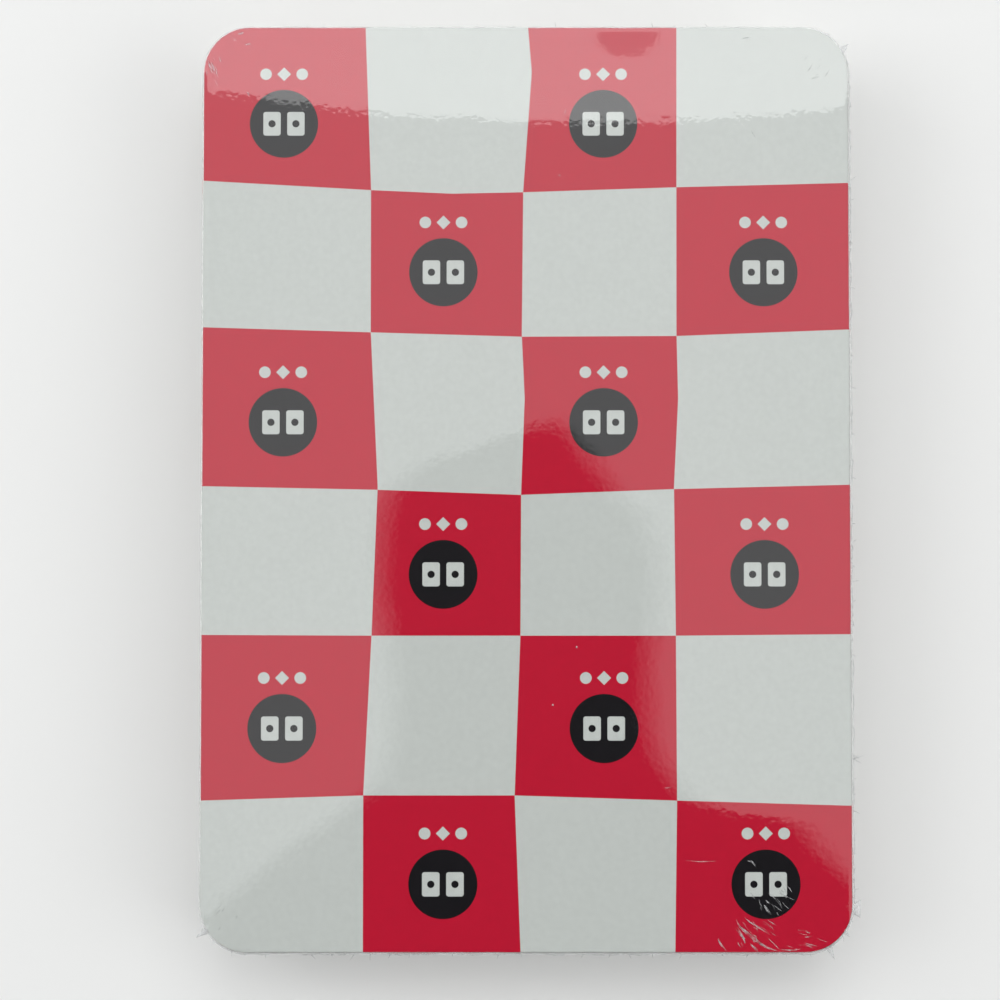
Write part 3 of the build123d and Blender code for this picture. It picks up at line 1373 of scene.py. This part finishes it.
@dataclass
class Studio:
    """Floor, lamps, surroundings and camera.

    The gap in the diffuser's veil, the border of its bright far part and the shade in that part are given
    in millimetres on the top card, where the camera sees them mirrored.
    """

    sizes: PackSizes
    camera_distance: float = 0.300
    camera_tilt: float = math.radians(2.06)
    aim: Point2 = (-3.6 * MM, -1.8 * MM)
    seen_height: float = 137.3 * MM
    floor_half: float = 2.5
    floor_colour: Colour = (0.80, 0.80, 0.79, 1.0)
    floor_fade: Point2 = (0.28, 0.75)
    background: Colour = (0.93, 0.95, 0.96, 1.0)
    glow_heights: Point2 = (0.55, 0.93)
    glow_strengths: Point2 = (0.85, 0.02)
    diffuser_half: float = 0.6
    diffuser_height: float = 0.9
    veil_glow: float = 0.80
    far_glow: float = 1.5
    gap_softness: float = 4.5
    gap_top: float = 9.5
    gap_left: tuple[Point2, ...] = (
        (8.8, 2.6), (6.1, -5.0), (1.3, -16.7), (-2.2, -19.0), (-40.0, -19.7), (-42.6, -22.5), (-48.3, -30.4),
        (-52.7, -36.2), (-57.2, -42.8), (-60.0, -47.6),
    )
    gap_right: tuple[Point2, ...] = (
        (8.8, 4.7), (4.0, 8.8), (-1.5, 12.9), (-4.9, 16.4), (-34.5, 17.3), (-39.3, 19.5), (-43.6, 24.7),
        (-45.3, 33.6), (-46.6, 37.8), (-49.1, 39.9), (-53.2, 43.9), (-55.9, 47.3),
    )
    far_softness: float = 0.25
    far_border: tuple[Point2, ...] = (
        (-46.3, 54.9), (-42.8, 54.5), (-31.1, 53.1), (-21.5, 51.8), (-10.5, 51.2), (0.5, 50.5), (10.2, 50.4),
        (20.6, 50.7), (32.2, 51.2), (37.7, 51.9), (44.6, 52.6),
    )
    shade_spot: Point2 = (14.0, 62.6)
    shade_reach: Point2 = (4.4, 3.0)
    shade_depth: float = 0.65
    lamps: tuple[Softbox, ...] = (
        Softbox("softbox_left", (-0.95, 0.25, 0.95), (0.9, 0.9), 5.2),
        Softbox("softbox_right", (0.95, -0.15, 0.95), (0.9, 0.9), 4.2),
        Softbox("softbox_back", (0.1, 1.1, 0.9), (0.9, 0.7), 3.0),
    )

    def build(self) -> None:
        """Sets up everything that isn't part of the object."""
        self.floor()
        self.surroundings()
        self.overhead_diffuser()
        for lamp in self.lamps:
            self.lamp(lamp)
        self.camera()
        bpy.context.scene.view_settings.view_transform = "Standard"

    def camera_place(self) -> tuple[Vector, Vector]:
        """Works out where the camera stands.

        Returns:
            Its place, and the direction in which it looks.
        """
        looks = Vector((0, math.sin(self.camera_tilt), -math.cos(self.camera_tilt)))
        target = Vector((self.aim[0], self.aim[1], self.sizes.high.z))
        return target - looks * self.camera_distance, looks

    def camera(self) -> None:
        """Makes the camera that stands as the photograph's did."""
        data = bpy.data.cameras.new("camera")
        data.lens = data.sensor_width * self.camera_distance / self.seen_height
        data.clip_start = 0.01
        bpy.context.scene.camera = stand("camera", data, *self.camera_place())

    def floor(self) -> None:
        """Lays a plain pale floor that runs into the background away from the pack."""
        material, nodes = new_material("pale_floor")
        paint = nodes.add("BsdfPrincipled", {"Base Color": self.floor_colour, "Roughness": 0.7})
        place = nodes.add("TexCoord").outputs["Object"]
        reach = nodes.add("VectorMath", {0: place}, operation="LENGTH").outputs["Value"]
        rays = nodes.add("LightPath").outputs
        seen = nodes.math("MAXIMUM", rays["Is Camera Ray"], rays["Is Glossy Ray"])
        seen = nodes.math("MAXIMUM", seen, rays["Is Transmission Ray"])
        away = nodes.ramp(reach, *self.floor_fade, 0.0, 1.0)
        backdrop = nodes.add("Emission", {"Color": self.background})
        blend = nodes.blend(nodes.times(away, seen), paint.outputs[0], backdrop.outputs[0])
        nodes.add("OutputMaterial", {"Surface": blend})
        mesh = bmesh.new()
        bmesh.ops.create_grid(mesh, x_segments=8, y_segments=8, size=self.floor_half)
        floor = to_object(mesh, "floor", material)

    def surroundings(self) -> None:
        """Gives the room a soft glow that is darkest straight above."""
        world = bpy.data.worlds.new("room")
        world.use_nodes = True
        world.node_tree.nodes.clear()
        nodes = Nodes(world.node_tree)
        rise = nodes.split(nodes.add("TexCoord").outputs["Generated"])[2]
        glow = nodes.ramp(rise, *self.glow_heights, *self.glow_strengths)
        rays = nodes.add("LightPath").outputs
        seen = nodes.math("MAXIMUM", rays["Is Camera Ray"], rays["Is Transmission Ray"])
        seen = nodes.math("MAXIMUM", seen, glow)
        background = nodes.add("Background", {"Color": self.background, "Strength": seen})
        nodes.add("OutputWorld", {"Surface": background.outputs[0]})
        bpy.context.scene.world = world

    def overhead_diffuser(self) -> None:
        """Hangs the big overhead diffuser whose mirror image veils the film, with a gap for the camera."""
        mesh = bmesh.new()
        bmesh.ops.create_grid(mesh, x_segments=2, y_segments=2, size=self.diffuser_half)
        bmesh.ops.translate(mesh, verts=mesh.verts, vec=(0, 0, self.sizes.high.z + self.diffuser_height))
        bmesh.ops.reverse_faces(mesh, faces=mesh.faces)
        diffuser = to_object(mesh, "overhead_diffuser", self.diffuser_glow())
        diffuser.visible_camera = False

    def diffuser_glow(self) -> Material:
        """Builds the diffuser's glow: a dim veil, a gap in it and a bright far part.

        Returns:
            The material.
        """
        material, nodes = new_material("diffuser_glow")
        place = nodes.split(nodes.add("TexCoord").outputs["Object"])
        eye = self.camera_place()[0]
        reach = self.diffuser_height / (eye.z - self.sizes.high.z)
        # The place on the card, in millimetres, where the camera sees this place mirrored.
        x, y = (
            nodes.math("MULTIPLY_ADD", axis, 1 / (1 + reach) / MM, own * reach / (1 + reach) / MM)
            for axis, own in ((place[0], eye.x), (place[1], eye.y))
        )
        past_left = nodes.within(nodes.follow(y, self.gap_left, Bend.SOFT), x, self.gap_softness)
        before_right = nodes.within(x, nodes.follow(y, self.gap_right, Bend.SOFT), self.gap_softness)
        gap = nodes.times(past_left, before_right)
        gap = nodes.times(gap, nodes.within(y, self.gap_top, self.gap_softness))
        veil = nodes.times(nodes.minus(1.0, gap), self.veil_glow)
        far = nodes.within(nodes.follow(x, self.far_border, Bend.SOFT), y, self.far_softness)
        off_x, off_y = (
            nodes.math("DIVIDE", nodes.minus(axis, spot), size)
            for axis, spot, size in zip((x, y), self.shade_spot, self.shade_reach)
        )
        off = nodes.math("MULTIPLY_ADD", off_x, off_x, nodes.times(off_y, off_y))
        shade = nodes.times(nodes.within(off, 1.0, 0.5), self.shade_depth)
        far = nodes.times(far, nodes.minus(1.0, shade))
        lit = nodes.add("Emission", {"Strength": nodes.math("MULTIPLY_ADD", far, self.far_glow, veil)})
        nodes.add("OutputMaterial", {"Surface": lit.outputs[0]})
        return material

    def lamp(self, lamp: Softbox) -> None:
        """Makes one soft lamp that points at the pack.

        Args:
            lamp: Its place, size and power.
        """
        data = bpy.data.lights.new(lamp.name, "AREA")
        data.shape = "RECTANGLE"
        data.size, data.size_y = lamp.size
        data.energy = lamp.watts
        place = Vector(lamp.place)
        stand(lamp.name, data, place, -place)


def main() -> None:
    """Builds the pack's looks and the studio."""
    logging.basicConfig(level=logging.INFO, format="%(name)s: %(message)s")
    sizes = PackSizes.from_frame()
    CardStock(sizes).dress()
    plastic = FilmFinish(sizes.walls)
    for sub_assembly in (Film, WeldTrim, FilmCreases):
        sub_assembly(sizes, plastic).build()
    Studio(sizes).build()


if __name__ == "__main__":
    main()
